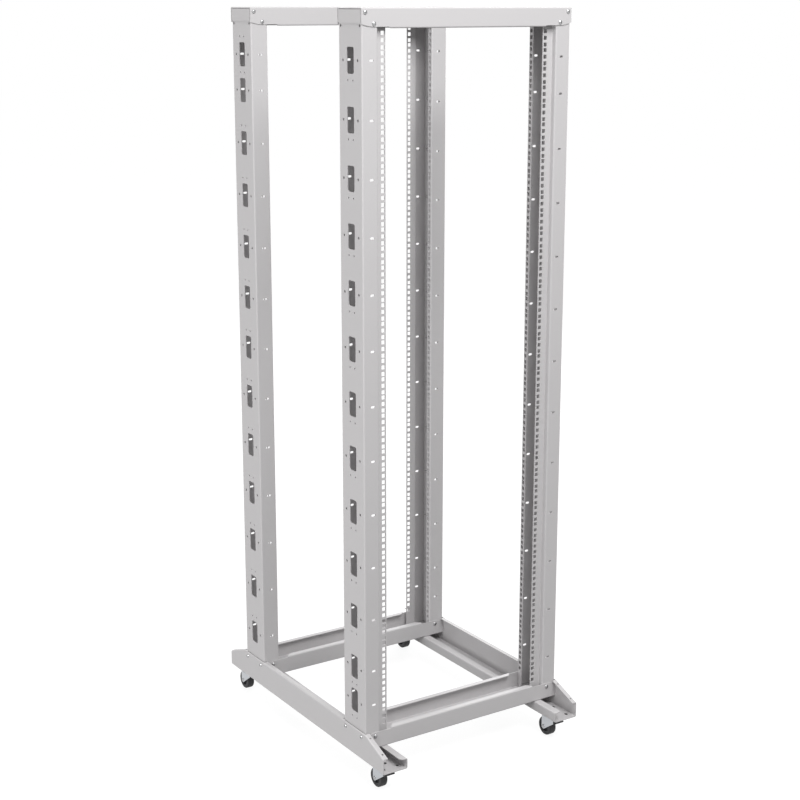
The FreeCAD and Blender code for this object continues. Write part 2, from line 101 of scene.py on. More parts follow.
class PostSizes(bpy.types.PropertyGroup):
    sheet: length("Sheet", "Thickness of the folded sheet", 2.0)
    bend: length("Bend", "Bend radius on the sheet's middle line", 2.5)
    unit: length("Rack unit", "Height of one rack unit", 44.45)
    units: count("Units", "Rack units that the posts carry", 38)
    square: length("Square hole", "Side of a square hole", 9.5)
    first_hole: length("First hole", "Foot of a rack unit to its lowest square hole", 6.35)
    hole_step: length("Hole step", "From hole to hole inside a rack unit", 15.875)
    column_in: length("Column", "Mounting strip's free edge to the middle of its holes", 7.55)
    strip: length("Strip", "Mounting strip's free edge to the edge of the post's face", 29.0)
    setback: length("Setback", "Face of the post back to the mounting strip", 14.0)
    lip: length("Lip", "Width of the return lip", 17.0)
    lip_step: length("Lip step", "Return lip to the edge of the face, across the rack", 4.5)
    lip_column: length("Lip holes", "Post's face to the middle of the return lip's holes", 8.5)
    cutout_width: length("Cut-out width", "Width of a cable cut-out", 30.0)
    cutout_height: length("Cut-out height", "Height of a cable cut-out", 60.0)
    cutout_corner: length("Cut-out corner", "Corner radius of a cable cut-out", 5.0)
    slot_width: length("Slot width", "Length of an oval slot in a post's face", 11.5)
    slot_height: length("Slot height", "Height of an oval slot in a post's face", 5.4)
    slot_in: length("Slot place", "Web's outer face to the middle of a slot", 25.5)
    nut_hole: length("Threaded hole", "Diameter of the threaded holes by the cut-outs", 6.6)
    nut_depth: length("Threaded collar", "Length of the collar behind a threaded hole", 4.5)
    pilot_hole: length("Pilot hole", "Diameter of the pairs of holes between cut-outs", 4.6)


class ScrewSizes(bpy.types.PropertyGroup):
    head: length("Head", "Diameter of a frame screw's head", 10.5)
    height: length("Height", "Height of a frame screw's head", 2.8)
    cross: length("Cross", "Width of the cross recess", 5.0)


class CasterSizes(bpy.types.PropertyGroup):
    shoulder: length("Tyre shoulder", "Corner radius of the tread", 3.0)
    recess: length("Hub recess", "Depth of the hollow in the hub's side", 5.5)


class Finishes(bpy.types.PropertyGroup):
    paint: colour("Powder coat", "Colour of the frame", (0.545, 0.533, 0.538))
    zinc: colour("Zinc", "Colour of the plated steel", (0.50, 0.505, 0.515))
    screw: colour("Screws", "Colour of the frame screws", (0.40, 0.40, 0.405))
    hub: colour("Hub", "Colour of the wheels' hubs", (0.022, 0.022, 0.024))
    tyre: colour("Tyre", "Colour of the tyres", (0.018, 0.018, 0.019))
    shoe: colour("Shoe", "Colour of the brake shoes", (0.016, 0.016, 0.017))


class StageSettings(bpy.types.PropertyGroup):
    place: bpy.props.FloatVectorProperty(
        name="Place", description="Where the camera stands", default=(-2.1919, -3.3736, 1.891),
        size=3, subtype="TRANSLATION", unit="LENGTH")
    lens: bpy.props.FloatProperty(
        name="Lens", description="Focal length of the camera", default=71.34)
    shift: bpy.props.FloatProperty(
        name="Shift", description="Upright shift of the camera's lens", default=-0.03)
    yaw: angle("Yaw", "Camera's turn from straight ahead", 33.12)
    pitch: angle("Pitch", "Camera's tilt downwards", 13.19)
    key: brightness("Key light", "Power of the main lamp", 150)
    fill: brightness("Fill light", "Power of the second lamp", 136)
    back: brightness("Back light", "Power of the lamp behind the rack", 85)
    sky: brightness("Sky", "Strength of the light from all round", 0.5)


# Shader maths

class Value:
    """A node's output, which adds Math nodes when it is used in sums."""

    def __init__(self, tree, socket):
        self.tree = tree
        self.socket = socket

    def joined(self, operation, first, second):
        node = self.tree.nodes.new("ShaderNodeMath")
        node.operation = operation
        for place, term in zip(node.inputs, (first, second)):
            if isinstance(term, Value):
                self.tree.links.new(term.socket, place)
            else:
                place.default_value = term
        return Value(self.tree, node.outputs[0])

    def __add__(self, other):
        return self.joined("ADD", self, other)

    def __radd__(self, other):
        return self.joined("ADD", other, self)

    def __sub__(self, other):
        return self.joined("SUBTRACT", self, other)

    def __rsub__(self, other):
        return self.joined("SUBTRACT", other, self)

    def __mul__(self, other):
        return self.joined("MULTIPLY", self, other)

    def __rmul__(self, other):
        return self.joined("MULTIPLY", other, self)

    def clipped(self, low, high):
        return self.joined("MINIMUM", self.joined("MAXIMUM", self, low), high)


class Finish:
    """A material with one Principled shader, and what feeds it."""

    def __init__(self, name, metallic=0.0, ior=1.5):
        self.material = bpy.data.materials.new(name)
        self.material.use_nodes = True
        self.tree = self.material.node_tree
        self.shader = self.tree.nodes["Principled BSDF"]
        self.shader.inputs["Metallic"].default_value = metallic
        self.shader.inputs["IOR"].default_value = ior
        self.place = self.node("ShaderNodeTexCoord", output="Object")

    def node(self, kind, settings=(), output=0, **values):
        """One node of a kind: its settings first, then its sockets' values or links."""
        node = self.tree.nodes.new(kind)
        for setting, choice in dict(settings).items():
            setattr(node, setting, choice)
        for label, value in values.items():
            socket = self.enabled(node, label.replace("_", " "))
            if isinstance(value, Value):
                self.tree.links.new(value.socket, socket)
            else:
                socket.default_value = value
        return Value(self.tree, node.outputs[output])

    @staticmethod
    def enabled(node, label):
        return next(socket for socket in node.inputs if socket.name == label and socket.enabled)

    def noise(self, scale, detail=2.0, roughness=0.5, stretch=(1, 1, 1)):
        """Noise from 0 to 1, about scale waves in a metre, drawn out where stretch is small."""
        place = self.node("ShaderNodeMapping", Vector=self.place, Scale=stretch)
        return self.node("ShaderNodeTexNoise", Vector=place, Scale=scale, Detail=detail,
                         Roughness=roughness)

    def blended(self, share, first, second):
        """Colour from first to second as share goes from 0 to 1."""
        mix = self.node("ShaderNodeMix", {"data_type": "RGBA"}, output=2, Factor=share)
        node = mix.socket.node
        for label, tint in (("A", first), ("B", second)):
            socket = next(s for s in node.inputs if s.name == label and s.type == "RGBA")
            if isinstance(tint, Value):
                self.tree.links.new(tint.socket, socket)
            else:
                socket.default_value = (*tint, 1.0)
        return mix

    def feed(self, label, value):
        self.tree.links.new(value.socket, self.shader.inputs[label])

    def bump(self, height, distance, strength):
        normal = self.node("ShaderNodeBump", Height=height, Distance=distance, Strength=strength)
        self.feed("Normal", normal)


def shade(tint, share):
    """A colour made lighter or darker by a share."""
    return tuple(min(1.0, channel * share) for channel in tint)


def powder_coat(tint):
    """Baked powder paint: a fine orange peel, a satin gloss and a hardly uneven tone."""
    coat = Finish("powder_coat", ior=1.45)
    tone = coat.noise(scale=2.3, detail=3.0)
    speckle = coat.noise(scale=620.0, roughness=0.6)
    broad = coat.blended(tone, shade(tint, 0.972), shade(tint, 1.02))
    fine = coat.blended(tone, shade(tint, 0.94), shade(tint, 0.99))
    coat.feed("Base Color", coat.blended((speckle * 1.6 - 0.6).clipped(0.0, 1.0), broad, fine))
    coat.feed("Roughness", 0.38 + 0.10 * speckle + 0.05 * tone)
    peel = coat.noise(scale=420.0, detail=1.0)
    coat.bump(peel + 0.35 * speckle, distance=0.09 * MM, strength=0.6)
    return coat.material


def zinc_plate(tint):
    """Bright zinc on stamped steel: faint rolling lines, cloudy patches and a bluish cast."""
    plate = Finish("zinc_plate", metallic=1.0)
    cloud = plate.noise(scale=95.0, detail=3.0)
    lines = plate.noise(scale=2600.0, stretch=(1.0, 0.12, 1.0))
    bluish = (tint[0] * 0.93, tint[1] * 0.97, tint[2] * 1.01)
    plate.feed("Base Color", plate.blended(cloud, tint, bluish))
    plate.feed("Roughness", 0.24 + 0.16 * cloud + 0.08 * lines)
    plate.bump(lines + 0.8 * cloud, distance=0.03 * MM, strength=0.5)
    return plate.material


def screw_metal(tint):
    """Nickel-bright screw heads, turned smooth."""
    metal = Finish("screw_metal", metallic=1.0)
    cloud = metal.noise(scale=400.0)
    metal.feed("Base Color", metal.blended(cloud, tint, shade(tint, 0.9)))
    metal.feed("Roughness", 0.2 + 0.12 * cloud)
    metal.bump(cloud, distance=0.02 * MM, strength=0.4)
    return metal.material


def moulded(name, tint, gloss):
    """Black moulded plastic with a fine spark-eroded grain."""
    plastic = Finish(name, ior=1.46)
    grain = plastic.noise(scale=1900.0, roughness=0.6)
    wear = plastic.noise(scale=140.0, detail=4.0)
    plastic.feed("Base Color", plastic.blended(wear, tint, shade(tint, 1.5)))
    plastic.feed("Roughness", gloss + 0.12 * wear)
    plastic.bump(grain, distance=0.04 * MM, strength=0.6)
    return plastic.material


def rubber(tint):
    """Dull rubber tread, slightly dusty."""
    tread = Finish("tyre_rubber_black", ior=1.48)
    dust = tread.noise(scale=180.0, detail=4.0, roughness=0.65)
    grain = tread.noise(scale=1500.0, detail=3.0)
    tread.feed("Base Color", tread.blended(dust, tint, shade(tint, 1.9)))
    tread.feed("Roughness", 0.52 + 0.2 * dust)
    tread.bump(grain + 0.5 * dust, distance=0.06 * MM, strength=0.7)
    return tread.material


MATERIALS = {}


def finish_for(slot):
    """The material of one finish, made once."""
    if not MATERIALS:
        finishes = bpy.context.scene.rack_finishes
        MATERIALS["frame_paint"] = powder_coat(tuple(finishes.paint))
        MATERIALS["zinc"] = zinc_plate(tuple(finishes.zinc))
        MATERIALS["screw"] = screw_metal(tuple(finishes.screw))
        MATERIALS["hub_plastic"] = moulded("hub_black", tuple(finishes.hub), gloss=0.42)
        MATERIALS["shoe_plastic"] = moulded("shoe_black", tuple(finishes.shoe), gloss=0.5)
        MATERIALS["tyre_rubber"] = rubber(tuple(finishes.tyre))
    return MATERIALS[slot]


# Modelling helpers

def middle(low, high):
    return (Vector(low) + Vector(high)) / 2


def cad_box(node):
    low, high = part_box(node)
    return Vector(low), Vector(high)


def mesh_object(name, bm):
    """An object in the scene with a bmesh as its mesh. The bmesh is freed."""
    mesh = bpy.data.meshes.new(name)
    bm.to_mesh(mesh)
    bm.free()
    made = bpy.data.objects.new(name, mesh)
    bpy.context.scene.collection.objects.link(made)
    return made


def discard(work):
    mesh = work.data
    bpy.data.objects.remove(work)
    bpy.data.meshes.remove(mesh)


def settled(work):
    """Bmesh of an object with its modifiers applied. The object goes."""
    bpy.context.view_layer.update()
    seen = work.evaluated_get(bpy.context.evaluated_depsgraph_get())
    bm = bmesh.new()
    bm.from_mesh(seen.to_mesh())
    seen.to_mesh_clear()
    discard(work)
    return bm


def cut_out(bm, tools, tools_cross=False):
    """Bmesh with a bmesh of closed tools taken away. tools_cross says that they overlap."""
    work = mesh_object("work", bm)
    cutter = mesh_object("cutter", tools)
    cutter.hide_render = True
    step = work.modifiers.new("cut", "BOOLEAN")
    step.object = cutter
    step.operation = "DIFFERENCE"
    step.solver = "EXACT"
    step.use_self = tools_cross
    result = settled(work)
    discard(cutter)
    return result


def folded_sheet(path, run, bend, thickness):
    """Sheet folded along a path on its middle line and pushed along run."""
    bm = bmesh.new()
    corners = [bm.verts.new(point) for point in path]
    edges = [bm.edges.new(pair) for pair in zip(corners, corners[1:])]
    pushed = bmesh.ops.extrude_edge_only(bm, edges=edges)["geom"]
    moved = [part for part in pushed if isinstance(part, bmesh.types.BMVert)]
    bmesh.ops.translate(bm, verts=moved, vec=run)
    folds = [edge for edge in bm.edges if len(edge.link_faces) == 2]
    bmesh.ops.bevel(bm, geom=folds, offset=bend, offset_type="OFFSET", segments=6, profile=0.5,
                    affect="EDGES", material=-1)
    bmesh.ops.recalc_face_normals(bm, faces=bm.faces)
    work = mesh_object("work", bm)
    wall = work.modifiers.new("wall", "SOLIDIFY")
    wall.thickness = thickness
    wall.offset = 0.0
    wall.use_even_offset = True
    result = settled(work)
    bmesh.ops.recalc_face_normals(result, faces=result.faces)
    return result


def add_box(bm, centre, size):
    place = Matrix.LocRotScale(Vector(centre), None, Vector(size))
    return bmesh.ops.create_cube(bm, size=1.0, matrix=place)["verts"]


def add_rod(bm, centre, way, radius, depth, segments):
    """Closed round rod about a centre."""
    turn = way.to_track_quat("Z", "Y").to_matrix().to_4x4()
    return bmesh.ops.create_cone(
        bm, cap_ends=True, segments=segments, radius1=radius, radius2=radius, depth=depth,
        matrix=Matrix.Translation(centre) @ turn)["verts"]


def add_rounded(bm, centre, size, radius, way, segments=5):
    """Box whose four edges along way are rounded."""
    verts = add_box(bm, centre, size)
    edges = dict.fromkeys(edge for vert in verts for edge in vert.link_edges)
    along = [edge for edge in edges
             if abs((edge.verts[0].co - edge.verts[1].co).normalized().dot(way)) > 0.99]
    bmesh.ops.bevel(bm, geom=along, offset=radius, offset_type="OFFSET", segments=segments,
                    profile=0.5, affect="EDGES", material=-1)


def turned(profile, centre, way, steps, soft=(), soft_radius=0.0):
    """Closed solid turned about way through centre from (radius, place along way) points.

    soft names the points to round, by number."""
    bm = bmesh.new()
    side = way.orthogonal().normalized()
    verts = [bm.verts.new(centre + side * radius + way * along) for radius, along in profile]
    for pair in zip(verts, verts[1:] + verts[:1]):
        bm.edges.new(pair)
    for number in soft:
        bmesh.ops.bevel(bm, geom=[verts[number]], offset=soft_radius, offset_type="OFFSET",
                        segments=5, profile=0.5, affect="VERTICES", material=-1)
    bmesh.ops.spin(bm, geom=list(bm.verts) + list(bm.edges), cent=centre, axis=way,
                   angle=math.tau, steps=steps, use_merge=True)
    bmesh.ops.remove_doubles(bm, verts=bm.verts, dist=TOUCHING)
    bmesh.ops.dissolve_degenerate(bm, dist=TOUCHING / 10, edges=bm.edges)
    bmesh.ops.recalc_face_normals(bm, faces=bm.faces)
    return bm


def whole_copy(node):
    """Bmesh of a CAD node with its loose triangles joined into whole faces."""
    bm = bmesh.new()
    bm.from_mesh(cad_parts[node].data)
    bmesh.ops.remove_doubles(bm, verts=bm.verts, dist=TOUCHING)
    bmesh.ops.dissolve_limit(bm, angle_limit=FLAT, verts=bm.verts, edges=bm.edges, delimit=set())
    return bm


def copies(bm, places):
    """One bmesh of a shape copied to each place, a 4x4 matrix each. The shape is freed."""
    result = bmesh.new()
    mesh = bpy.data.meshes.new("part")
    bm.to_mesh(mesh)
    bm.free()
    for place in places:
        moved = mesh.copy()
        moved.transform(place)
        result.from_mesh(moved)
        bpy.data.meshes.remove(moved)
    bpy.data.meshes.remove(mesh)
    return result


def smooth(mesh):
    """Smooth shading with sharp edges where the surface turns."""
    bm = bmesh.new()
    bm.from_mesh(mesh)
    for face in bm.faces:
        face.smooth = True
    for edge in bm.edges:
        edge.smooth = len(edge.link_faces) == 2 and edge.calc_face_angle(0.0) < SHARP
    bm.to_mesh(mesh)
    bm.free()


def piece(name, bm, finish, body, replaces=(), soft_edge=0.0):
    """Makes a bmesh into a finished piece that rides on a body."""
    made = mesh_object(name, bm)
    smooth(made.data)
    made.data.materials.append(finish_for(finish))
    if soft_edge:
        rounding = made.modifiers.new("soft_edge", "BEVEL")
        rounding.width = soft_edge
        rounding.segments = 2
        rounding.limit_method = "ANGLE"
        rounding.angle_limit = ROUNDED
        rounding.use_clamp_overlap = True
    weights = made.modifiers.new("even_normals", "WEIGHTED_NORMAL")
    weights.keep_sharp = True
    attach(made, body)
    if replaces:
        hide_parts(*replaces)


def dress(node, finish):
    """Gives a CAD node its finish."""
    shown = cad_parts[node]
    shown.data.materials.clear()
    shown.data.materials.append(finish_for(finish))


# Posts

HOLES_PER_UNIT = 3
FIRST_CUTOUT = 1.5            # rack units from the pattern's top to the first cut-out
CUTOUT_STEP = 3               # rack units from cut-out to cut-out
EVEN_CUTOUTS = 12             # cut-outs that stand a step apart
LAST_CUTOUT = 36.5            # rack units from the pattern's top to the last cut-out
SLOT_ROUND = 0.48             # corner radius of an oval slot, as a share of its height
PILOT_OFF = 10.8 * MM         # web's middle line to each pilot hole
NUT_OFF = 31.5 * MM           # web's middle line to the threaded holes by a cut-out
END_NUT_OFF = 41 * MM         # web's middle line to the threaded holes at a post's ends
END_NUT_UP = 36.5 * MM        # post's end to those holes
COLLAR_ROOT = 1.1 * MM        # wall of a threaded collar where it leaves the sheet
COLLAR_TIP = 0.9 * MM         # wall of a threaded collar at its tip
COLLAR_SUNK = 0.3 * MM        # start of a threaded collar inside the sheet


def hole_levels(sizes, low):
    """Middles in Z of the square holes of every rack unit."""
    units = [low + number * sizes.unit for number in range(sizes.units)]
    return [foot + sizes.first_hole + step * sizes.hole_step
            for foot in units for step in range(HOLES_PER_UNIT)]


def cutout_levels(sizes, top):
    """Middles in Z of the cut-outs: most of them a step apart, and one more near the foot."""
    levels = [FIRST_CUTOUT + CUTOUT_STEP * number for number in range(EVEN_CUTOUTS)]
    return [top - level * sizes.unit for level in levels + [LAST_CUTOUT]]


def threaded_places(sizes, low, high):
    """Places in Y and Z of a web's threaded holes: two by each cut-out and at each end."""
    middle_y = (low.y + high.y) / 2
    top = (low.z + high.z) / 2 + sizes.units * sizes.unit / 2
    beside = [(middle_y + off, level)
              for level in cutout_levels(sizes, top) for off in (-NUT_OFF, NUT_OFF)]
    ends = [(middle_y + off, level) for level in (high.z - END_NUT_UP, low.z + END_NUT_UP)
            for off in (-END_NUT_OFF, END_NUT_OFF)]
    return beside + ends


def post_path(sizes, low, high):
    """Middle line of a post's sheet, from the strip's free edge round to the return lip."""
    half = sizes.sheet / 2
    strip = low.y + sizes.setback + half
    face = high.x - sizes.strip
    lip = face + sizes.lip_step - half
    return [
        (high.x, strip, low.z),
        (face - half, strip, low.z),
        (face - half, low.y + half, low.z),
        (low.x + half, low.y + half, low.z),
        (low.x + half, high.y - half, low.z),
        (lip, high.y - half, low.z),
        (lip, high.y - sizes.lip, low.z),
    ]


def front_left_post(sizes):
    """The post with the square holes of its strip and lip, cut-outs, slots and small holes."""
    low, high = cad_box("post_front_left")
    half = sizes.sheet / 2
    path = post_path(sizes, low, high)
    post = folded_sheet(path, (0, 0, high.z - low.z), sizes.bend, sizes.sheet)

    strip = path[0][1]
    web = low.x + half
    lip = path[-1][0]
    centre = (low.z + high.z) / 2
    reach = sizes.units * sizes.unit / 2
    through = 3 * sizes.sheet
    square = sizes.square
    tools = bmesh.new()
    for level in hole_levels(sizes, centre - reach):
        add_box(tools, (high.x - sizes.column_in, strip, level), (square, through, square))
        add_box(tools, (lip, high.y - sizes.lip_column, level), (through, square, square))
    middle_y = (low.y + high.y) / 2
    for level in cutout_levels(sizes, centre + reach):
        add_rounded(tools, (web, middle_y, level),
                    (through, sizes.cutout_width, sizes.cutout_height),
                    sizes.cutout_corner, ACROSS)
        for face in (low.y + half, high.y - half):
            add_rounded(tools, (low.x + sizes.slot_in, face, level),
                        (sizes.slot_width, through, sizes.slot_height),
                        sizes.slot_height * SLOT_ROUND, ALONG, segments=4)
        for off in (-PILOT_OFF, PILOT_OFF):
            add_rod(tools, Vector((web, middle_y + off, level - sizes.unit)), ACROSS,
                    sizes.pilot_hole / 2, through, segments=12)
    for y, z in threaded_places(sizes, low, high):
        add_rod(tools, Vector((web, y, z)), ACROSS, sizes.nut_hole / 2, through, segments=16)
    return cut_out(post, tools)


def threaded_collars(sizes):
    """The collars drawn out behind the front left post's threaded holes."""
    low, high = cad_box("post_front_left")
    hole = sizes.nut_hole / 2
    wall = low.x + sizes.sheet
    profile = [(hole, -COLLAR_SUNK), (hole + COLLAR_ROOT, -COLLAR_SUNK),
               (hole + COLLAR_TIP, sizes.nut_depth), (hole, sizes.nut_depth)]
    collar = turned(profile, ORIGIN, ACROSS, steps=16)
    places = threaded_places(sizes, low, high)
    return copies(collar, [Matrix.Translation((wall, y, z)) for y, z in places])


class RACK_OT_posts(bpy.types.Operator):
    """Four folded posts with their threaded collars: one shape turned half round for each"""
    bl_idname = "rack.posts"
    bl_label = "Posts"

    def execute(self, context):
        low, high = cad_box("post_front_left")
        centre = Vector((0, 0, (low.z + high.z) / 2))
        sizes = context.scene.rack_posts
        turns = {"front_left": None, "rear_left": "X", "front_right": "Y", "rear_right": "Z"}
        patterns = {
            "folded_post_": front_left_post(sizes),
            "threaded_collars_": threaded_collars(sizes),
        }
        for name, pattern in patterns.items():
            for corner, axis in turns.items():
                made = pattern.copy()
                if axis:
                    bmesh.ops.rotate(made, verts=made.verts, cent=centre,
                                     matrix=Matrix.Rotation(math.pi, 3, axis))
                piece(name + corner, made, "frame_paint", "frame",
                      replaces=["post_" + corner] if name == "folded_post_" else ())
            pattern.free()
        return {"FINISHED"}


# Beams and rails

SEAM_IN = 3.3 * MM            # beam's folded edge to the groove across its ear
SEAM_DEEP = 4.4 * MM          # size of the groove's cutter across the rack
SEAM_LONG = 94 * MM
SEAM_HIGH = 2.2 * MM
RELIEF_IN = 76 * MM           # beam's end to the relief holes at its lips' ends
RELIEF_WALL = 2 * MM          # beam's outer face to the middle of a relief hole
RELIEF_RADIUS = 1.7 * MM
RELIEF_DEEP = 12 * MM

SCREW_ALONG = 27 * MM         # caster's middle to its screws, along the rail
SCREW_ACROSS = 20 * MM        # caster's middle to its screws, across the rail
SCREW_SLOT = (7 * MM, 11 * MM)
SCREW_SLOT_CORNER = 3.3 * MM
SCREW_HOLE_RADIUS = 3.8 * MM
PIVOT_RADIUS = 5.5 * MM
SCREW_HOLE_DEEP = 9 * MM
PIVOT_DEEP = 7 * MM
# Black plugs in the caster holes: painted shade where the caster's screws pass through
SHADE_PLUG_LONG = 3 * MM
SHADE_PLUG_UP = 0.1 * MM       # rail's underside to the middle of the black plugs of painted shade
SHADE_PLUG_GAP = 0.02 * MM     # gap round a black plug of painted shade

LIP_FALL = 32 * MM            # height that a rail's sloping lip loses
LIP_START = 2 * MM            # bottom beam to the start of the slope
LIP_MIDDLE = 7 * MM           # rail's outer face to the lip's middle line
LIP_HOLES = (0.17, 0.82)      # places of the holes, as shares of the slope
LIP_HOLE_RADIUS = 2.6 * MM
LIP_HOLE_DEEP = 9 * MM


def beam_details(node, level):
    """A fine groove across each ear by the folded edge, and relief holes at the lips' ends."""
    low, high = cad_box(node)
    edge, way = (high.z, -1) if level == "top" else (low.z, 1)
    lips = low.z + high.z - edge
    middle_y = (low.y + high.y) / 2
    tools = bmesh.new()
    for side in SIDES.values():
        add_box(tools, (side * high.x, middle_y, edge + way * SEAM_IN),
                (SEAM_DEEP, SEAM_LONG, SEAM_HIGH))
        for wall in (low.y + RELIEF_WALL, high.y - RELIEF_WALL):
            add_rod(tools, Vector((side * (high.x - RELIEF_IN), wall, lips)), UP,
                    RELIEF_RADIUS, RELIEF_DEEP, segments=14)
    return tools


class RACK_OT_beams(bpy.types.Operator):
    """Top and bottom beams, with softened edges, seams and small relief holes"""
    bl_idname = "rack.beams"
    bl_label = "Beams"

    def execute(self, context):
        for level in ("top", "bottom"):
            for end in ENDS:
                node = level + "_beam_" + end
                beam = cut_out(whole_copy(node), beam_details(node, level))
                piece("channel_" + node, beam, "frame_paint", "frame",
                      replaces=[node], soft_edge=FOLDED_EDGE)
        return {"FINISHED"}


def add_caster_screw_holes(bm, side, end, level, deep, pivot_deep, gap=0.0):
    """Two slots, two round holes and the pivot of one caster as solids, less a gap all round."""
    plate = middle(*cad_box("caster_plate_" + end + "_" + side))
    outward = SIDES[side] * SCREW_ACROSS
    width, long = SCREW_SLOT
    for along in (-SCREW_ALONG, SCREW_ALONG):
        add_rounded(bm, (plate.x + outward, plate.y + along, level),
                    (width - 2 * gap, long - 2 * gap, deep), SCREW_SLOT_CORNER - gap, UP,
                    segments=4)
        add_rod(bm, Vector((plate.x - outward, plate.y + along, level)), UP,
                SCREW_HOLE_RADIUS - gap, deep, segments=20)
    add_rod(bm, Vector((plate.x, plate.y, level)), UP, PIVOT_RADIUS - gap, pivot_deep,
            segments=24)


def caster_holes(side, ends):
    """Tools for the slots and holes through a rail's floor and the casters' plates."""
    underside = cad_box("side_rail_" + side)[0].z
    tools = bmesh.new()
    for end in ends:
        add_caster_screw_holes(tools, side, end, underside, SCREW_HOLE_DEEP, PIVOT_DEEP)
    return tools


def painted_shade_plugs(side, end):
    """Black plugs in a caster's slots and holes, where its screws pass: painted shade in the
    holes.
    """
    underside = cad_box("side_rail_" + side)[0].z
    ends = bmesh.new()
    add_caster_screw_holes(ends, side, end, underside + SHADE_PLUG_UP, SHADE_PLUG_LONG,
                      SHADE_PLUG_LONG, SHADE_PLUG_GAP)
    return ends


def lip_holes(side):
    """Tools for the two small holes in each sloping lip of a rail."""
    low, high = cad_box("side_rail_" + side)
    outer = low.x if side == "left" else high.x
    beam_low, beam_high = cad_box("bottom_beam_front")
    start = max(abs(beam_low.y), abs(beam_high.y)) + LIP_START
    run = high.y - start
    tools = bmesh.new()
    for toward in ENDS.values():
        square_to_lip = Vector((0, toward * LIP_FALL, run)).normalized()
        for share in LIP_HOLES:
            spot = Vector((outer - SIDES[side] * LIP_MIDDLE, toward * (start + share * run),
                           high.z - share * LIP_FALL))
            add_rod(tools, spot, square_to_lip, LIP_HOLE_RADIUS, LIP_HOLE_DEEP, segments=14)
    return tools


class RACK_OT_rails(bpy.types.Operator):
    """Base rails, with the holes in their sloping lips and over the casters"""
    bl_idname = "rack.rails"
    bl_label = "Base rails"

    def execute(self, context):
        for side in SIDES:
            node = "side_rail_" + side
            rail = cut_out(cut_out(whole_copy(node), caster_holes(side, ENDS)), lip_holes(side))
            piece("folded_" + node, rail, "frame_paint", "frame",
                  replaces=[node], soft_edge=FOLDED_EDGE)
        return {"FINISHED"}


# Screws

HEAD_SUNK = 0.4 * MM          # part of a screw's head inside the sheet
CROSS_ARM = 1.1 * MM          # width of one arm of the cross recess
CROSS_UP = 0.98               # middle of the recess's cutter, as a share of the head's height
SCREW_TURN = 0.7              # turn from one screw's recess to the next, in radians

# From a beam's end and from its folded edge to its screws
BEAM_SCREWS = {
    "top": ((10 * MM, 10.7 * MM), (33 * MM, 36 * MM)),
    "bottom": ((30 * MM, 33 * MM),),
}
RAIL_SCREWS = (13 * MM, 88 * MM)    # face of a post to the rail's screws
RAIL_SCREW_DOWN = 12 * MM           # rail's upper edge to its screws


def pan_head(sizes):
    """Domed screw head on the plane Z = 0 with a cross recess."""
    radius, height = sizes.head / 2, sizes.height
    profile = [(0, -HEAD_SUNK), (radius, -HEAD_SUNK), (radius, 0.3 * height),
               (0.72 * radius, 0.82 * height), (0.36 * radius, height), (0, height)]
    head = turned(profile, ORIGIN, UP, steps=24)
    tools = bmesh.new()
    for size in ((sizes.cross, CROSS_ARM, height), (CROSS_ARM, sizes.cross, height)):
        add_box(tools, (0, 0, height * CROSS_UP), size)
    return cut_out(head, tools, tools_cross=True)


def facing(place, way, turn):
    """Matrix that stands a screw made on Z = 0 at a place, looking along way."""
    return (Matrix.Translation(place) @ way.to_track_quat("Z", "Y").to_matrix().to_4x4()
            @ Matrix.Rotation(turn, 4, "Z"))


def beam_screw_places():
    """Places on both faces of the four beams, each with the way out."""
    places = []
    for level, up in (("top", -1), ("bottom", 1)):
        for end in ENDS:
            low, high = cad_box(level + "_beam_" + end)
            edge = high.z if level == "top" else low.z
            for side in SIDES.values():
                for wall, way in ((low.y, -ALONG), (high.y, ALONG)):
                    places += [(Vector((side * (high.x - inward), wall, edge + up * off)), way)
                               for inward, off in BEAM_SCREWS[level]]
    return places


def rail_screw_places():
    """Places on the outer faces of the two rails, each with the way out."""
    places = []
    for side, sign in SIDES.items():
        low, high = cad_box("side_rail_" + side)
        wall = low.x if sign < 0 else high.x
        for end, toward in ENDS.items():
            post_low, post_high = cad_box("post_" + end + "_" + side)
            face = post_low.y if toward < 0 else post_high.y
            places += [(Vector((wall, face - toward * inward, high.z - RAIL_SCREW_DOWN)),
                        ACROSS * sign) for inward in RAIL_SCREWS]
    return places


class RACK_OT_screws(bpy.types.Operator):
    """Cross-recess screws that hold beams, posts and rails together"""
    bl_idname = "rack.screws"
    bl_label = "Frame screws"

    def execute(self, context):
        spots = beam_screw_places() + rail_screw_places()
        places = [facing(spot, way, SCREW_TURN * number)
                  for number, (spot, way) in enumerate(spots)]
        screws = copies(pan_head(context.scene.rack_screws), places)
        piece("frame_screws", screws, "screw", "frame")
        return {"FINISHED"}


# Casters

AXLE_RADIUS = 3 * MM          # axle between its heads
AXLE_HEAD = 2.5 * MM          # height of the axle's domed heads
HUB_BORE = 3.05 * MM
BOSS_TOP = 6.2 * MM           # radius of the hub's boss at its face
BOSS_FOOT = 7.4 * MM          # radius of the boss near the web
BOSS_EASE = 0.8 * MM          # height of the curve from boss to web
WEB_START = 9 * MM            # radius where the hub's flat web begins
RIM_WALL = 3 * MM             # wall under the tyre
RIM_EASE = 1 * MM             # width of the slope from web to rim
RIM_INSET = 1 * MM            # tyre's side face to the rim's
CAP_REACH = 7 * MM            # size of the black cap round the pedal's tip
CAP_AHEAD = 0.4 * MM          # cap past the lever's front edge
CAP_ABOVE = 0.5 * MM          # cap past the lever's upper face
CAP_WIDER = 0.6 * MM          # cap wider than the lever
CAP_TAPER = 3.6 * MM          # height that the cap loses towards its tip


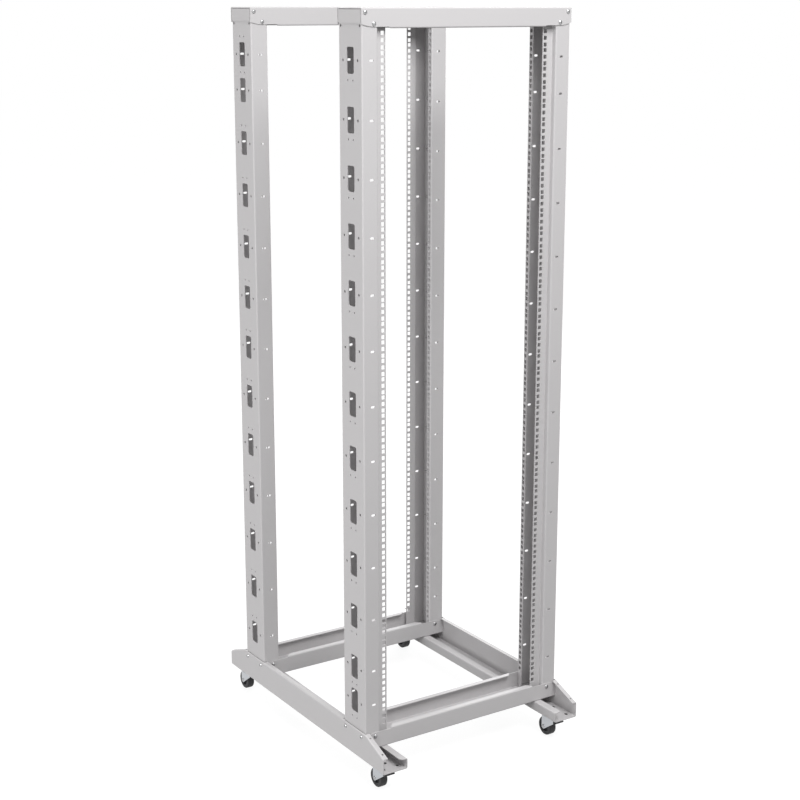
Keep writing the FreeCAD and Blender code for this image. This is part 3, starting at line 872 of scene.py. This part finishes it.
class RACK_OT_wheels(bpy.types.Operator):
    """Tyres with rounded shoulders on black hubs with a hollow in each side"""
    bl_idname = "rack.wheels"
    bl_label = "Wheels"

    def execute(self, context):
        sizes = context.scene.rack_casters
        for end, side in CORNERS:
            corner = end + "_" + side
            low, high = cad_box("wheel_tyre_" + corner)
            centre = middle(low, high)
            half = (high.x - low.x) / 2
            radius = (high.z - low.z) / 2
            hub_low, hub_high = cad_box("wheel_hub_" + corner)
            rim = (hub_high.z - hub_low.z) / 2
            boss = (hub_high.x - hub_low.x) / 2
            tyre = turned([(rim, -half), (radius, -half), (radius, half), (rim, half)], centre,
                          ACROSS, steps=72, soft=(1, 2), soft_radius=sizes.shoulder)
            piece("tread_" + corner, tyre, "tyre_rubber", "wheel_" + corner,
                  replaces=["wheel_tyre_" + corner])
            inset = half - RIM_INSET
            web = inset - sizes.recess
            one_side = [
                (HUB_BORE, boss), (BOSS_TOP, boss), (BOSS_FOOT, web + BOSS_EASE),
                (WEB_START, web), (rim - RIM_WALL - RIM_EASE, web), (rim - RIM_WALL, inset),
                (rim, inset),
            ]
            profile = one_side + [(radius, -place) for radius, place in reversed(one_side)]
            hub = turned(profile, centre, ACROSS, steps=60)
            piece("hub_" + corner, hub, "hub_plastic", "wheel_" + corner,
                  replaces=["wheel_hub_" + corner])
        return {"FINISHED"}


def axle_bolt(corner):
    """The axle with a domed head at each end."""
    low, high = cad_box("caster_axle_" + corner)
    half = (high.x - low.x) / 2
    head = (high.z - low.z) / 2
    seat = half - AXLE_HEAD
    one_end = [(0, half), (0.55 * head, half - 0.3 * MM), (0.9 * head, half - 1.2 * MM),
               (head, seat), (AXLE_RADIUS, seat)]
    profile = [(radius, -place) for radius, place in one_end] + one_end[::-1]
    return turned(profile, middle(low, high), ACROSS, steps=40)


class RACK_OT_swivels(bpy.types.Operator):
    """Caster plates, black plugs of painted shade in their holes, forks, and axles with domed
    heads
    """
    bl_idname = "rack.swivels"
    bl_label = "Caster swivels"

    def execute(self, context):
        for end, side in CORNERS:
            corner = end + "_" + side
            plate = cut_out(whole_copy("caster_plate_" + corner), caster_holes(side, [end]))
            piece("swivel_plate_" + corner, plate, "zinc", "frame",
                  replaces=["caster_plate_" + corner], soft_edge=PRESSED_EDGE)
            # Black plugs in the caster holes: painted shade where the screws pass
            piece("caster_shade_plugs_" + corner, painted_shade_plugs(side, end), "shoe_plastic",
                  "frame", soft_edge=PRESSED_EDGE)
            piece("stamped_fork_" + corner, whole_copy("caster_fork_" + corner), "zinc",
                  "swivel_" + corner, replaces=["caster_fork_" + corner],
                  soft_edge=PRESSED_EDGE)
            piece("axle_bolt_" + corner, axle_bolt(corner), "screw", "swivel_" + corner,
                  replaces=["caster_axle_" + corner])
        return {"FINISHED"}


def add_tip_cap(bm, corner):
    """A tapered black cap round the tip of the brake lever."""
    low, high = cad_box("brake_lever_" + corner)
    centre = Vector(((low.x + high.x) / 2, low.y + CAP_REACH / 2 - CAP_AHEAD,
                     high.z + CAP_ABOVE - CAP_REACH / 2))
    cap = add_box(bm, centre, (high.x - low.x + CAP_WIDER, CAP_REACH, CAP_REACH))
    tip = [vert for vert in cap if vert.co.y < centre.y and vert.co.z < centre.z]
    bmesh.ops.translate(bm, verts=tip, vec=(0, 0, CAP_TAPER))


class RACK_OT_pedals(bpy.types.Operator):
    """Stamped brake pedals with a black wedge and tip, on the front casters"""
    bl_idname = "rack.pedals"
    bl_label = "Brake pedals"

    def execute(self, context):
        for end, side in BRAKED:
            corner = end + "_" + side
            body = "pedal_" + corner
            piece("pedal_plate_" + corner, whole_copy("brake_lever_" + corner), "zinc", body,
                  replaces=["brake_lever_" + corner], soft_edge=PRESSED_EDGE)
            wedge = whole_copy("brake_shoe_" + corner)
            add_tip_cap(wedge, corner)
            piece("pedal_wedge_" + corner, wedge, "shoe_plastic", body,
                  replaces=["brake_shoe_" + corner], soft_edge=MOULDED_EDGE)
            dress("brake_pin_" + corner, "zinc")
        return {"FINISHED"}


# Stage

FLOOR_HALF = 30.0             # half the side of the floor, in metres
FLOOR_TONE = (0.2, 0.2, 0.2, 1)
FLOOR_GLOW = 0.9              # the floor's own white, where it is looked at
WHITE = (1, 1, 1, 1)


def lamp(name, spot, target, size, power):
    """A square lamp that shines from a spot towards a target."""
    light = bpy.data.lights.new(name, "AREA")
    light.shape = "RECTANGLE"
    light.size = light.size_y = size
    light.energy = power
    lit = bpy.data.objects.new(name, light)
    lit.location = spot
    lit.rotation_euler = (Vector(target) - Vector(spot)).to_track_quat("-Z", "Y").to_euler()
    bpy.context.scene.collection.objects.link(lit)


def looked_at(tree):
    """1 for what is looked at straight, in a reflection or through glass, and 0 for light."""
    path = tree.nodes.new("ShaderNodeLightPath")
    seen = Value(tree, path.outputs["Is Camera Ray"]) + Value(tree, path.outputs["Is Glossy Ray"])
    return (seen + Value(tree, path.outputs["Is Transmission Ray"])).clipped(0.0, 1.0)


def white_world(strength):
    """Even light from all round, and a white background to look at or to see in metal."""
    world = bpy.data.worlds.new("studio")
    bpy.context.scene.world = world
    world.use_nodes = True
    tree = world.node_tree
    tree.nodes.clear()
    seen = looked_at(tree)
    glow = tree.nodes.new("ShaderNodeBackground")
    glow.inputs["Color"].default_value = WHITE
    tree.links.new((strength + (1.0 - strength) * seen).socket, glow.inputs["Strength"])
    output = tree.nodes.new("ShaderNodeOutputWorld")
    tree.links.new(glow.outputs[0], output.inputs["Surface"])


def floor_material():
    """Pale floor that fades into the white background but keeps the rack's shadow."""
    material = bpy.data.materials.new("studio_floor")
    material.use_nodes = True
    tree = material.node_tree
    tree.nodes.clear()
    seen = looked_at(tree)
    paint = tree.nodes.new("ShaderNodeBsdfDiffuse")
    paint.inputs["Color"].default_value = FLOOR_TONE
    glow = tree.nodes.new("ShaderNodeEmission")
    tree.links.new((FLOOR_GLOW * seen).socket, glow.inputs["Strength"])
    both = tree.nodes.new("ShaderNodeAddShader")
    tree.links.new(paint.outputs[0], both.inputs[0])
    tree.links.new(glow.outputs[0], both.inputs[1])
    output = tree.nodes.new("ShaderNodeOutputMaterial")
    tree.links.new(both.outputs[0], output.inputs["Surface"])
    return material


class RACK_OT_stage(bpy.types.Operator):
    """Floor, soft studio light and the camera"""
    bl_idname = "rack.stage"
    bl_label = "Stage"

    def execute(self, context):
        scene = context.scene
        settings = scene.rack_stage
        scene.view_settings.view_transform = "Standard"
        white_world(settings.sky)

        bm = bmesh.new()
        bmesh.ops.create_grid(bm, x_segments=1, y_segments=1, size=FLOOR_HALF)
        floor = mesh_object("studio_floor", bm)
        floor.data.materials.append(floor_material())

        lamp("key", spot=(-0.3, -2.6, 4.1), target=(0, 0, 1.3), size=2.0, power=settings.key)
        lamp("fill", spot=(-5.0, -0.3, 1.0), target=(0, 0, 1.0), size=2.5, power=settings.fill)
        lamp("back", spot=(3.4, 3.8, 2.6), target=(0, 0, 1.1), size=2.5, power=settings.back)

        lens = bpy.data.cameras.new("camera")
        lens.sensor_width = 36.0
        lens.lens = settings.lens
        lens.shift_y = settings.shift
        lens.clip_end = 100.0
        camera = bpy.data.objects.new("camera", lens)
        camera.location = settings.place
        camera.rotation_euler = Euler((math.pi / 2 - settings.pitch, 0, -settings.yaw))
        scene.collection.objects.link(camera)
        scene.camera = camera
        return {"FINISHED"}


class RACK_PT_panel(bpy.types.Panel):
    """The rack's steps, sizes and finishes"""
    bl_label = "Rack"
    bl_idname = "RACK_PT_panel"
    bl_space_type = "VIEW_3D"
    bl_region_type = "UI"
    bl_category = "Rack"

    def draw(self, context):
        layout = self.layout
        for operator in OPERATORS:
            layout.operator(operator.bl_idname)
        for name, group in GROUPS.items():
            box = layout.box()
            for field in group.__annotations__:
                box.prop(getattr(context.scene, name), field)


OPERATORS = (RACK_OT_stage, RACK_OT_posts, RACK_OT_beams, RACK_OT_rails, RACK_OT_screws,
             RACK_OT_wheels, RACK_OT_swivels, RACK_OT_pedals)
GROUPS = {
    "rack_posts": PostSizes,
    "rack_screws": ScrewSizes,
    "rack_casters": CasterSizes,
    "rack_finishes": Finishes,
    "rack_stage": StageSettings,
}


def register():
    for group in GROUPS.values():
        bpy.utils.register_class(group)
    for kind in OPERATORS + (RACK_PT_panel,):
        bpy.utils.register_class(kind)
    for name, group in GROUPS.items():
        setattr(bpy.types.Scene, name, bpy.props.PointerProperty(type=group))


def unregister():
    for name in GROUPS:
        delattr(bpy.types.Scene, name)
    for kind in reversed(OPERATORS + (RACK_PT_panel,)):
        bpy.utils.unregister_class(kind)
    for group in reversed(GROUPS.values()):
        bpy.utils.unregister_class(group)


def main():
    register()
    bpy.ops.rack.stage()
    bpy.ops.rack.posts()
    bpy.ops.rack.beams()
    bpy.ops.rack.rails()
    bpy.ops.rack.screws()
    bpy.ops.rack.wheels()
    bpy.ops.rack.swivels()
    bpy.ops.rack.pedals()


if __name__ == "__main__":
    main()
